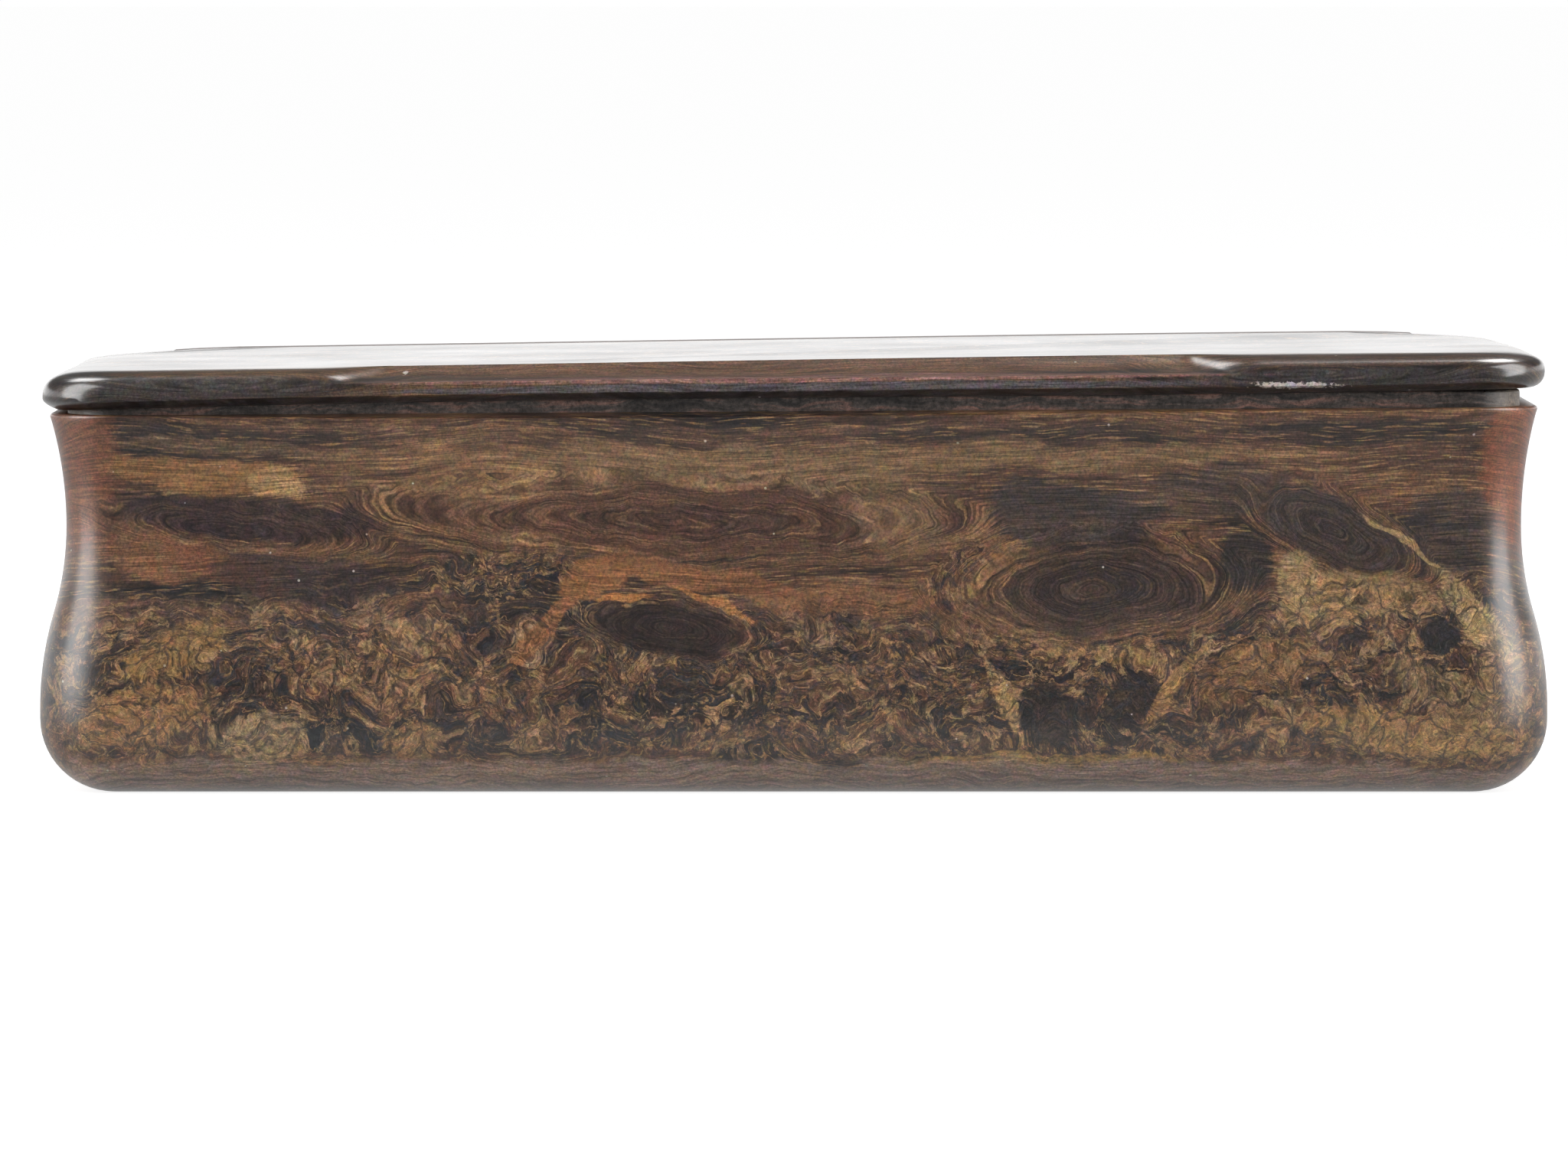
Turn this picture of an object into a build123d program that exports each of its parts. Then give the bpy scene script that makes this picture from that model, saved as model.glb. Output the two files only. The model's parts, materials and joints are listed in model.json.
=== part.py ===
"""Table snuff box of burr root wood with a waisted body and a hinged, thumb-scooped lid.

Millimetres, +Z up. The origin is the middle of the foot, on the surface it stands on.
The front is at -Y and the hinge at +Y. All solids are drawn with the lid closed.
"""

import os
from math import atan, cos, sin

from build123d import *

# Outside of the body: foot, bulge, waist and flared rim
body_width = 90.0
body_depth = 52.0
body_height = 22.75
foot_radius = 4.4
side_flat = 0.6
bulge_radius = 20.0
waist_height = 15.5
waist_inset = 1.6
rim_inset = 0.6
corner_radius = 4.8
rim_softening = 0.2

# Walls of the carved body
wall_thickness = 1.75
base_thickness = 3.0

# Horn sheets that line the well, and the lip that stands in a rebate round its mouth
lining_thickness = 0.6
rim_ledge = 1.1
rebate_depth = 1.6
lip_height = 1.3
lip_softening = 0.2

# Lid
lid_overhang = 0.15
lid_thickness = 2.4
nose_width = 3.4
nose_underside = 0.45
nose_undercut = 0.5
gap_left = 0.3
gap_right = 1.2
pocket_depth = 1.3
pocket_clearance = 0.3
lid_lining_thickness = 0.7
lid_lining_clearance = 0.4

# Thumb scoop, cut into the front of the lid with a round gouge
scoop_length = 48.0
scoop_centre = -0.4
scoop_shoulder = 3.5
scoop_shoulder_rise = 0.75
scoop_ridge_height = 0.75
gouge_radius = 5.0

# Hinge: rails with knuckles, glued to the body and the lid, and one brass pin
knuckle_count = 7
knuckle_radius = 1.1
knuckle_end_gap = 0.15
hinge_margin = 2.05
hinge_height = 0.4
hinge_clearance = 0.25
rail_tongue = 3.0
rail_width = 1.6
rail_softening = 0.4
lid_back_reach = 0.6
pin_diameter = 1.0
pin_clearance = 0.04
plug_length = 2.0
lid_opening = 100.0

# Levels and half sizes that follow from the values above
bulge_height = foot_radius + side_flat
half_width = body_width / 2
half_depth = body_depth / 2
rim_half_width = half_width - rim_inset
rim_half_depth = half_depth - rim_inset
well_half_width = half_width - waist_inset - wall_thickness
well_half_depth = half_depth - waist_inset - wall_thickness
mouth_half_width = well_half_width - lining_thickness
mouth_half_depth = well_half_depth - lining_thickness
lip_half_width = rim_half_width - rim_ledge
lip_half_depth = rim_half_depth - rim_ledge
lip_corner_radius = corner_radius - rim_inset - rim_ledge
rebate_level = body_height - rebate_depth
lining_level = base_thickness + lining_thickness
lid_half_width = rim_half_width + lid_overhang
lid_front = -rim_half_depth - lid_overhang
lid_corner_radius = corner_radius - rim_inset + lid_overhang

# The lid lies a little higher at its right end, so it and the hinge have a frame of their own
lid_roll = atan((gap_right - gap_left) / (2 * lid_half_width))
lid_frame = Plane(
    origin=(0, 0, body_height + (gap_left + gap_right) / 2),
    x_dir=(cos(lid_roll), 0, sin(lid_roll)),
    z_dir=(-sin(lid_roll), 0, cos(lid_roll)),
)
hinge_y = rim_half_depth - knuckle_radius
hinge_length = 2 * (mouth_half_width - hinge_margin)
lid_back = hinge_y + lid_back_reach
lid_half_depth = (lid_back - lid_front) / 2
lid_middle_y = (lid_back + lid_front) / 2
lid_plan_frame = lid_frame.shift_origin(lid_frame.from_local_coords((0, lid_middle_y, 0)))

# Section across the hinge, with its middle on the axis, +X towards the back and +Y up
hinge_section = Plane(
    origin=lid_frame.from_local_coords((0, hinge_y, hinge_height)),
    x_dir=lid_frame.y_dir,
    z_dir=lid_frame.x_dir,
)
knuckle_pitch = hinge_length / knuckle_count
knuckle_length = knuckle_pitch - knuckle_end_gap
knuckle_starts = [k * knuckle_pitch - hinge_length / 2 for k in range(knuckle_count)]
body_knuckles = [start + knuckle_end_gap / 2 for start in knuckle_starts[0::2]]
lid_knuckles = [start + knuckle_end_gap / 2 for start in knuckle_starts[1::2]]
barrel_room = knuckle_radius + hinge_clearance
web_depth = (gap_left + gap_right) / 2 + hinge_height + rebate_depth / 2
pin_radius = pin_diameter / 2
barrel_end = (hinge_length - knuckle_end_gap) / 2


def save(piece, name):
    """Name a finished piece and write it as its own file."""
    piece.part.label = name
    export_step(piece.part, f"parts/{name}.step")


def section_plane(frame, half_depth, radius):
    """Upright plane across the -X side of a frame, where its rounded plan outline begins."""
    return Plane(
        origin=frame.from_local_coords((0, half_depth - radius, 0)),
        x_dir=-frame.x_dir,
        z_dir=frame.y_dir,
    )


os.makedirs("parts", exist_ok=True)

# Outside form of the body, still solid
ogee_sum = ((waist_height - bulge_height) ** 2 + waist_inset**2) / (2 * waist_inset)
bulge_centre = Vector(half_width - bulge_radius, bulge_height)
waist_centre = Vector(half_width - waist_inset + ogee_sum - bulge_radius, waist_height)
ogee_turn = bulge_centre + (waist_centre - bulge_centre).normalized() * bulge_radius

with BuildPart() as ogee_form:
    with BuildSketch() as body_plan:
        RectangleRounded(body_width, body_depth, corner_radius)
    extrude(amount=bulge_height)
    fillet(ogee_form.faces().sort_by(Axis.Z)[0].edges(), foot_radius)
    with BuildSketch(section_plane(Plane.XY, half_depth, corner_radius)):
        with BuildLine():
            TangentArc((half_width, bulge_height), ogee_turn, tangent=(0, 1))
            TangentArc((half_width - waist_inset, waist_height), ogee_turn, tangent=(0, -1))
            TangentArc(
                (half_width - waist_inset, waist_height),
                (rim_half_width, body_height),
                tangent=(0, 1),
            )
            Line((rim_half_width, body_height), (well_half_width, body_height))
            Line((well_half_width, body_height), (well_half_width, bulge_height))
            Line((well_half_width, bulge_height), (half_width, bulge_height))
        make_face()
    sweep(path=body_plan.sketch.wire())
    with BuildSketch(Plane.XY.offset(bulge_height)):
        Rectangle(2 * well_half_width + wall_thickness, 2 * well_half_depth + wall_thickness)
    extrude(amount=body_height - bulge_height)
    fillet(ogee_form.faces().sort_by(Axis.Z)[-1].edges(), rim_softening)

# Carved body: well, rebate for the lip, and the back wall cut down for the hinge rail
with BuildPart() as body_block:
    add(ogee_form.part)
    with BuildSketch(Plane.XY.offset(base_thickness)):
        Rectangle(2 * well_half_width, 2 * well_half_depth)
    extrude(amount=body_height, mode=Mode.SUBTRACT)
    with BuildSketch(Plane.XY.offset(rebate_level)):
        RectangleRounded(2 * lip_half_width, 2 * lip_half_depth, lip_corner_radius)
        with Locations((0, mouth_half_depth)):
            Rectangle(body_width, body_depth, align=(Align.CENTER, Align.MIN), mode=Mode.SUBTRACT)
            Rectangle(2 * mouth_half_width, body_depth, align=(Align.CENTER, Align.MIN))
    extrude(amount=body_height, mode=Mode.SUBTRACT)
save(body_block, "body_block")

# Lining of the well: a floor sheet with four wall sheets standing on it
with BuildPart() as lining_floor:
    with BuildSketch(Plane.XY.offset(base_thickness)):
        Rectangle(2 * well_half_width, 2 * well_half_depth)
    extrude(amount=lining_thickness)
save(lining_floor, "lining_floor")

lining_middle_x = (well_half_width + mouth_half_width) / 2
lining_middle_y = (well_half_depth + mouth_half_depth) / 2
lining_sheets = {
    "lining_front": ((0, -lining_middle_y), 2 * well_half_width, lining_thickness),
    "lining_back": ((0, lining_middle_y), 2 * well_half_width, lining_thickness),
    "lining_left": ((-lining_middle_x, 0), lining_thickness, 2 * mouth_half_depth),
    "lining_right": ((lining_middle_x, 0), lining_thickness, 2 * mouth_half_depth),
}
for name, (middle, length_x, length_y) in lining_sheets.items():
    with BuildPart() as lining_sheet:
        with BuildSketch(Plane.XY.offset(lining_level)):
            with Locations(middle):
                Rectangle(length_x, length_y)
        extrude(amount=rebate_level - lining_level)
    save(lining_sheet, name)

# Lip: three strips butted at the front corners, the side strips running past the front one
lip_side_width = lip_half_width - mouth_half_width
lip_side_middle = (lip_half_width + mouth_half_width) / 2
lip_strips = {
    "lip_front": (0, 2 * mouth_half_width, half_depth),
    "lip_left": (-lip_side_middle, lip_side_width, half_depth + mouth_half_depth),
    "lip_right": (lip_side_middle, lip_side_width, half_depth + mouth_half_depth),
}
for name, (middle, length_x, length_y) in lip_strips.items():
    with BuildPart() as lip_strip:
        with BuildSketch(Plane.XY.offset(rebate_level)):
            RectangleRounded(2 * lip_half_width, 2 * lip_half_depth, lip_corner_radius)
            Rectangle(2 * mouth_half_width, 2 * mouth_half_depth, mode=Mode.SUBTRACT)
            with Locations((middle, -half_depth)):
                Rectangle(length_x, length_y, align=(Align.CENTER, Align.MIN), mode=Mode.INTERSECT)
        extrude(amount=rebate_depth + lip_height)
        fillet(lip_strip.faces().sort_by(Axis.Z)[-1].edges(), lip_softening)
    save(lip_strip, name)

# Gouge that cuts the thumb scoop: a straight run with a rising run at each end
gouge_y = lid_front
gouge_level = nose_underside + scoop_ridge_height + gouge_radius
scoop_end = scoop_length / 2
gouge_points = [
    (scoop_centre - scoop_end - 2 * scoop_shoulder, gouge_y, gouge_level + 2 * scoop_shoulder_rise),
    (scoop_centre - scoop_end, gouge_y, gouge_level),
    (scoop_centre + scoop_end, gouge_y, gouge_level),
    (scoop_centre + scoop_end + 2 * scoop_shoulder, gouge_y, gouge_level + 2 * scoop_shoulder_rise),
]
with BuildPart() as gouge:
    with BuildLine(lid_frame) as gouge_path:
        Polyline(*gouge_points)
    with BuildSketch(Plane(origin=gouge_path.line @ 0, z_dir=gouge_path.line % 0)):
        Circle(gouge_radius)
    sweep(path=gouge_path.line, transition=Transition.RIGHT)

# Lid slab: flat plate with a rounded nose, an undercut below it, a pocket and the scoop
nose_height = lid_thickness - nose_underside
nose_inside = lid_half_width - nose_width
ring_inside = lid_half_width - (nose_width + lid_corner_radius) / 2
rail_front = hinge_y - barrel_room - rail_width
with BuildSketch(lid_plan_frame) as lid_plan:
    RectangleRounded(2 * lid_half_width, 2 * lid_half_depth, lid_corner_radius)
with BuildPart() as lid_slab:
    with BuildSketch(section_plane(lid_plan_frame, lid_half_depth, lid_corner_radius)):
        with BuildLine():
            Polyline(
                (nose_inside, lid_thickness),
                (ring_inside, lid_thickness),
                (ring_inside, 0),
                (lid_half_width - nose_undercut, 0),
                (lid_half_width, nose_underside),
            )
            EllipticalCenterArc((nose_inside, nose_underside), nose_width, nose_height, 0, arc_size=90)
        make_face()
    sweep(path=lid_plan.sketch.wire())
    with BuildSketch(lid_plan_frame):
        RectangleRounded(
            2 * nose_inside, 2 * (lid_half_depth - nose_width), lid_corner_radius - nose_width
        )
    extrude(amount=lid_thickness)
    with BuildSketch(lid_frame):
        RectangleRounded(
            2 * (lip_half_width + pocket_clearance),
            2 * (lip_half_depth + pocket_clearance),
            lip_corner_radius + pocket_clearance,
        )
        with Locations((0, mouth_half_depth + pocket_clearance)):
            Rectangle(body_width, body_depth, align=(Align.CENTER, Align.MIN), mode=Mode.SUBTRACT)
    extrude(amount=pocket_depth, mode=Mode.SUBTRACT)
    with BuildSketch(lid_frame):
        with Locations((0, rail_front)):
            Rectangle(hinge_length, body_depth, align=(Align.CENTER, Align.MIN))
    extrude(amount=lid_thickness, mode=Mode.SUBTRACT)
    add(gouge.part, mode=Mode.SUBTRACT)
save(lid_slab, "lid_slab")

# Horn sheet glued under the lid, inside the lip
lining_front_edge = -mouth_half_depth + lid_lining_clearance
lining_back_edge = rail_front - rail_tongue - lid_lining_clearance
with BuildPart() as lid_lining:
    with BuildSketch(lid_frame.offset(pocket_depth - lid_lining_thickness)):
        with Locations((0, (lining_front_edge + lining_back_edge) / 2)):
            Rectangle(
                2 * (mouth_half_width - lid_lining_clearance),
                lining_back_edge - lining_front_edge,
            )
    extrude(amount=lid_lining_thickness)
save(lid_lining, "lid_lining")

# Hinge rail of the body: a bar in the back wall, flush with it, with knuckles on webs
with BuildPart() as body_bar:
    add(ogee_form.part)
    with BuildSketch(Plane.XY.offset(rebate_level)):
        with Locations((0, mouth_half_depth)):
            Rectangle(2 * mouth_half_width, body_depth, align=(Align.CENTER, Align.MIN))
    extrude(amount=rebate_depth, mode=Mode.INTERSECT)

with BuildPart() as body_hinge_rail:
    for start in body_knuckles:
        with BuildSketch(hinge_section.offset(start)):
            Circle(knuckle_radius)
            Rectangle(2 * knuckle_radius, web_depth, align=(Align.CENTER, Align.MAX))
        extrude(amount=knuckle_length)
    split(bisect_by=Plane.XY.offset(body_height), keep=Keep.TOP)
    add(body_bar.part)
    for start in lid_knuckles:
        with BuildSketch(hinge_section.offset(start - knuckle_end_gap)):
            Circle(barrel_room)
        extrude(amount=knuckle_length + 2 * knuckle_end_gap, mode=Mode.SUBTRACT)
    with BuildSketch(hinge_section):
        Circle(pin_radius)
    extrude(amount=hinge_length, both=True, mode=Mode.SUBTRACT)
save(body_hinge_rail, "body_hinge_rail")

# Hinge rail of the lid: a full-thickness strip with a tongue under the slab and a thin roof
# over the barrel, and knuckles that are round below and square up to that roof
underside = -hinge_height
tongue_top = pocket_depth - hinge_height
rail_top = lid_thickness - hinge_height
rail_face = -barrel_room - rail_width
with BuildPart() as lid_hinge_rail:
    with BuildSketch(hinge_section.offset(-hinge_length / 2)):
        with BuildLine():
            Polyline(
                (rail_face - rail_tongue, underside),
                (-barrel_room, underside),
                (-barrel_room, barrel_room),
                (lid_back_reach, barrel_room),
                (lid_back_reach, rail_top),
                (rail_face, rail_top),
                (rail_face, tongue_top),
                (rail_face - rail_tongue, tongue_top),
                close=True,
            )
        make_face()
    extrude(amount=hinge_length)
    top_edges = lid_hinge_rail.faces().sort_by(Axis.Z)[-1].edges()
    fillet(top_edges.sort_by(Axis.Y)[-1], rail_softening)
    for start in lid_knuckles:
        with BuildSketch(hinge_section.offset(start)):
            Circle(knuckle_radius)
            with Locations((-barrel_room, underside)):
                Rectangle(barrel_room, barrel_room - underside, align=(Align.MIN, Align.MIN))
            Rectangle(lid_back_reach, barrel_room, align=(Align.MIN, Align.MIN))
        extrude(amount=knuckle_length)
    with BuildSketch(hinge_section):
        Circle(pin_radius + pin_clearance)
    extrude(amount=hinge_length, both=True, mode=Mode.SUBTRACT)
save(lid_hinge_rail, "lid_hinge_rail")

# Brass pin through the knuckles, and the plugs that hide its ends
with BuildPart() as hinge_pin:
    with BuildSketch(hinge_section):
        Circle(pin_radius)
    extrude(amount=barrel_end - plug_length, both=True)
save(hinge_pin, "hinge_pin")

with BuildPart() as hinge_plugs:
    for start in (-barrel_end, barrel_end - plug_length):
        with BuildSketch(hinge_section.offset(start)):
            Circle(pin_radius)
        extrude(amount=plug_length)
save(hinge_plugs, "hinge_plugs")

axis_place = hinge_section.origin
axis_direction = -lid_frame.x_dir
print("hinge axis through", tuple(axis_place), "along", tuple(axis_direction))
print("lid opens", lid_opening, "degrees")
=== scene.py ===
"""A burr wood snuff box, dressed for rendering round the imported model."""

import json
import math

import bpy
import numpy as np
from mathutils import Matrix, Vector

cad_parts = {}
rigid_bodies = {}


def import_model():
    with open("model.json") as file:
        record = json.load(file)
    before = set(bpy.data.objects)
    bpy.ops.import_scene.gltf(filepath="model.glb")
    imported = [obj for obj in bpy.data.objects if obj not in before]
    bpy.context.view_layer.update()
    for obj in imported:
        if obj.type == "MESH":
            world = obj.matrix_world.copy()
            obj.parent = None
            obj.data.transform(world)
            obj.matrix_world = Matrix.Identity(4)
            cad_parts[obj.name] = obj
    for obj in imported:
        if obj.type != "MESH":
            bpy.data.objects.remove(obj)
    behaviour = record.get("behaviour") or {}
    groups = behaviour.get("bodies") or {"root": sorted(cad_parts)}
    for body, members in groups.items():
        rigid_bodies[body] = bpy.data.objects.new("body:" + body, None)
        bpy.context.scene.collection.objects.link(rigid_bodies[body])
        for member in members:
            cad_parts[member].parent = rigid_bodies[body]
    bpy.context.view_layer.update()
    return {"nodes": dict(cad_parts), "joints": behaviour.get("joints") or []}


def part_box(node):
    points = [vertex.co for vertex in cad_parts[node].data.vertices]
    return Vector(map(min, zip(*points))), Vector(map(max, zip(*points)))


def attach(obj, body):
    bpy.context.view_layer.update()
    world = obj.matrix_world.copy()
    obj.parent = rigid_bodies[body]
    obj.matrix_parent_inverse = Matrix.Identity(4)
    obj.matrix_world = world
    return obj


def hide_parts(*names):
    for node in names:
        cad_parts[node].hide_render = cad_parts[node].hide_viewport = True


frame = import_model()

bl_info = {
    "name": "Burr Wood Snuff Box",
    "version": (1, 0, 0),
    "blender": (4, 5, 0),
    "location": "View3D > Sidebar > Snuff Box",
    "description": "Models a waisted burr wood snuff box with a thumb-scooped lid, and a plain studio",
    "category": "Add Mesh",
}

MM = 0.001

BODY_LOW, BODY_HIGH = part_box("body_block")
LID_LOW, LID_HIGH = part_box("lid_slab")
HINGE_AXIS = frame["joints"][0]["axis"]
LID_ROLL = math.atan2(-HINGE_AXIS[2], -HINGE_AXIS[0])
# The lid's underside stands at LID_LEVEL in the middle. The lid's rail starts at RAIL_FRONT behind the middle
# of the box, stays straight up to RAIL_ROOF over the underside, and is warped above it. For that it is cut
# every RAIL_SLICE, RAIL_SLICES times to each side of the middle.
LID_LEVEL = 23.5 * MM
RAIL_ROOF = 1.85 * MM
RAIL_FRONT = 21.35 * MM
RAIL_SLICE = 2.5 * MM
RAIL_SLICES = 15
RIM_SOFTENING = 0.2 * MM
LID_OVERHANG = 0.4 * MM
POCKET_CLEARANCE = 0.3 * MM
SAME_PLACE = 0.01 * MM

# The old rim and the lid are uneven: (x, how far over the plain height), in mm along the front.
RIM_WAVE = [(-43.0, -0.13), (-34.0, -0.28), (-20.0, -0.26), (-1.0, -0.18), (17.0, 0.0), (43.0, 0.32)]
LID_TOP_WAVE = [(-43.0, -0.32), (-36.0, -0.25), (-20.0, -0.17), (0.0, -0.14), (14.0, -0.05), (26.0, 0.06),
                (36.0, 0.01), (43.0, -0.04)]
ARRIS_WAVE = [(-43.0, -0.22), (-35.0, -0.07), (-20.0, 0.12), (0.0, 0.08), (20.0, 0.1), (40.0, 0.16)]
# The rim's wave starts at this height, and both waves die out between these two depths.
RIM_WAVE_START = 15.0 * MM
RIM_WAVE_FADE = (4.0 * MM, 20.0 * MM)
ARRIS_WAVE_FADE = (2.0 * MM, 19.0 * MM)
# The lid's top is worn down from the first to the second of these, out to the sides and to the back.
CORNER_WEAR_SIDE = (35.0 * MM, 45.0 * MM)
CORNER_WEAR_BACK = (-12.0 * MM, 24.0 * MM)
# The lid's ends are worn round over this stretch, which lifts their arris; the left end is less worn.
END_STRETCH = (4.0 * MM, 0.4 * MM)
END_LIFT = 0.45 * MM
LEFT_END_SHARE = 0.5
# The chip in the arris: its middle along the front and over the underside, its half length and half height,
# how far behind the front it reaches, and how far the wood at its middle is pushed in and down.
CHIP_MIDDLE = (29.7 * MM, 0.95 * MM)
CHIP_SIZE = (2.5 * MM, 0.28 * MM)
CHIP_REACH = 1.2 * MM
CHIP_DEPTH = 0.16 * MM
CHIP_DROP = 0.08 * MM

# The figure of the wood in mm: spots lie on the front face and fade out over FIGURE_DEPTH behind it. A spot
# is its middle (x, z), its radii and its turn in degrees. An eye also has the mm of grain that its rings
# cross, where 0 is calm wood without rings, and a glow has a colour and a strength. Besides the wood's own
# patches, some glows are painted light: a painted floor reflection along the body's foot, and painted
# reflections, a painted highlight and a painted shadow along the lid's nose.
FIGURE_FRONT = -26.0
FIGURE_DEPTH = 9.0
# Each palette runs from the darkest to the lightest grain: (level of the grain's noise, colour).
BODY_PALETTE = [
    (0.30, "#1b191a"), (0.42, "#35271f"), (0.50, "#4a3326"), (0.58, "#5a3f2b"), (0.68, "#78583a"),
]
LID_PALETTE = [
    (0.30, "#191614"), (0.42, "#29221f"), (0.52, "#392d26"), (0.62, "#4c3a2c"), (0.72, "#664d35"),
]
LIP_PALETTE = [(0.36, "#2b2827"), (0.50, "#47403c"), (0.64, "#74544a")]
BODY_EYES = [
    ((-33.1, 15.8), (8.0, 1.5), -8, 1.3),
    ((-7.6, 16.4), (16.0, 2.3), -1, 1.9),
    ((-7.3, 9.8), (4.8, 1.5), -6, 1.5),
    ((17.9, 12.2), (8.2, 3.0), 1, 2.9),
    ((32.2, 15.6), (5.2, 2.1), -26, 2.2),
    ((0.0, 0.3), (60.0, 2.1), 0, 0.0),
]
BODY_WILD_SPOTS = [
    ((-17.1, 13.4), (5.0, 1.7), 6),
    ((10.5, 12.8), (2.4, 2.6), 70),
    ((33.3, 11.2), (5.0, 2.0), 0),
    ((40.5, 9.8), (3.6, 2.8), -50),
]
BODY_GLOWS_AND_PAINTED_REFLECTION = [
    ((-44.1, 18.7), (4.2, 5.5), 0, "#673d26", 0.8),
    ((43.4, 18.8), (2.5, 5.5), 4, "#6f3c20", 0.8),
    ((-9.1, 16.6), (14.0, 2.0), 0, "#4a3025", 0.6),
    ((-4.0, 19.5), (12.0, 1.2), -3, "#7b6040", 0.5),
    ((14.0, 20.2), (14.0, 0.9), 0, "#735a3a", 0.45),
    ((6.0, 17.0), (3.0, 2.4), -30, "#6f5539", 0.45),
    ((-33.0, 20.6), (8.0, 0.5), -3, "#6a5138", 0.4),
    ((16.5, 16.6), (5.6, 2.0), -4, "#322c2a", 0.85),
    ((24.4, 18.0), (5.0, 1.5), 8, "#38302b", 0.6),
    ((38.9, 15.7), (3.0, 2.6), 0, "#2f2a28", 0.7),
    ((-35.1, 19.1), (6.6, 0.9), -5, "#79552f", 0.8),
    ((-30.7, 18.5), (1.9, 0.85), -8, "#8f6e45", 0.85),
    ((-32.1, 16.5), (9.0, 1.3), -5, "#2b2021", 0.8),
    ((-38.1, 14.4), (3.4, 1.4), -14, "#6e4a30", 0.75),
    ((-33.6, 13.4), (4.0, 1.0), -22, "#6b4129", 0.6),
    ((-29.1, 12.8), (6.0, 1.5), -6, "#2e2423", 0.7),
    ((-14.7, 10.1), (3.6, 0.7), 44, "#724a2b", 0.85),
    ((-11.7, 12.8), (2.6, 1.1), 28, "#7d522e", 0.85),
    ((-7.5, 13.4), (3.6, 0.8), -14, "#734b2c", 0.8),
    ((-2.3, 12.1), (4.2, 0.8), -20, "#6d472b", 0.8),
    ((4.1, 11.6), (4.6, 1.0), 3, "#69462b", 0.75),
    ((-9.8, 11.8), (1.7, 0.28), 4, "#a0682f", 0.6),
    ((-4.7, 11.5), (2.8, 0.25), -24, "#94602f", 0.6),
    ((-7.3, 9.8), (4.6, 1.6), -6, "#241b19", 0.9),
    ((17.9, 12.2), (6.8, 2.9), 1, "#282120", 0.8),
    ((26.9, 14.0), (1.7, 2.1), 20, "#262322", 0.9),
    ((32.2, 15.6), (4.9, 2.2), -24, "#2e2826", 0.85),
    ((33.1, 11.8), (4.0, 1.5), 4, "#8a6c44", 0.65),
    ((30.1, 12.8), (1.5, 1.3), 60, "#92764f", 0.6),
    ((36.3, 15.1), (2.8, 0.2), -38, "#957a4e", 0.6),
    ((40.5, 10.6), (3.8, 0.9), -50, "#957a50", 0.7),
    ((38.1, 9.8), (1.3, 1.0), -10, "#1f1c1d", 0.95),
    ((-36.9, 8.6), (3.2, 1.6), 24, "#7c5c32", 0.7),
    ((-38.7, 4.7), (4.0, 1.9), 8, "#84603a", 0.75),
    ((-31.7, 3.3), (2.7, 1.5), 12, "#8f7450", 0.8),
    ((-22.7, 3.2), (1.8, 1.2), 0, "#80603a", 0.7),
    ((15.1, 5.0), (1.9, 1.9), -60, "#221c1b", 0.9),
    ((19.9, 5.6), (2.2, 1.5), 30, "#221c1b", 0.85),
    ((12.3, 5.8), (3.0, 0.4), -68, "#94754a", 0.8),
    ((22.7, 6.8), (3.4, 0.45), 52, "#7f5f38", 0.75),
    ((18.3, 8.4), (3.6, 0.5), -8, "#84653c", 0.7),
    ((27.5, 7.6), (3.6, 1.8), 24, "#6c4d2e", 0.6),
    ((36.9, 3.8), (7.0, 1.3), -3, "#84653b", 0.75),
    ((38.5, 6.6), (4.0, 1.2), -24, "#77603f", 0.6),
    ((14.3, 2.1), (9.0, 0.4), 1, "#8a6b3c", 0.75),
    # Painted reflection of the white floor: a lighter grey-brown band along the rounded foot.
    ((-0.1, 0.8), (60.0, 1.3), 0, "#7d6757", 0.75),
]
LID_EYES = [
    ((30.0, 25.2), (9.0, 1.0), 1, 0.5),
    ((-33.0, 24.8), (9.0, 1.0), 1, 0.5),
]
# The lid's glows: brown patches of the wood on the nose, and painted light along its lower part.
LID_GLOWS_AND_PAINTED_LIGHT = [
    ((-30.0, 25.1), (11.0, 0.45), 0.6, "#5c432a", 0.7),
    # Painted dark reflection on the lower part of the nose at the left end.
    ((-36.0, 24.2), (9.0, 0.7), 0.6, "#3b3633", 0.7),
    ((34.0, 25.9), (10.0, 0.4), 0.6, "#4a3527", 0.7),
    # Painted dark reflection on the lower part of the nose at the right end.
    ((34.0, 24.8), (10.0, 0.6), 0.6, "#34302f", 0.8),
    ((0.0, 25.4), (27.0, 0.55), 0.6, "#644732", 0.8),
    # Painted highlight: a reddish streak along the scoop's ridge.
    ((0.0, 24.75), (25.5, 0.2), 0.6, "#7d5a50", 0.8),
    # Painted reflection: a grey band between the ridge and the arris.
    ((0.0, 24.25), (25.5, 0.3), 0.6, "#4b4647", 0.85),
    # Painted shadow: a near-black band on the bevel under the arris, along the lid's edge.
    ((0.0, 23.65), (60.0, 0.38), 0.6, "#2b2827", 0.95),
]
LID_CHIPS = [
    ((29.7, 24.4), (2.9, 0.22), -1),
    ((-23.1, 25.0), (0.2, 0.15), 30),
]
# The plain grain's layers rise by this share of the height, which draws them coarser than they are.
LAYER_SHARE = 0.6
# The grain's noises: waves per mm along the fibre and across it, and detail.
GRAINS = {
    "band": (0.06, 1.1, 3.0),
    "streak": (0.16, 6.5, 6.0),
    "fleck": (0.60, 12.0, 1.0),
    "fibre": (0.40, 22.0, 3.0),
}

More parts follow.
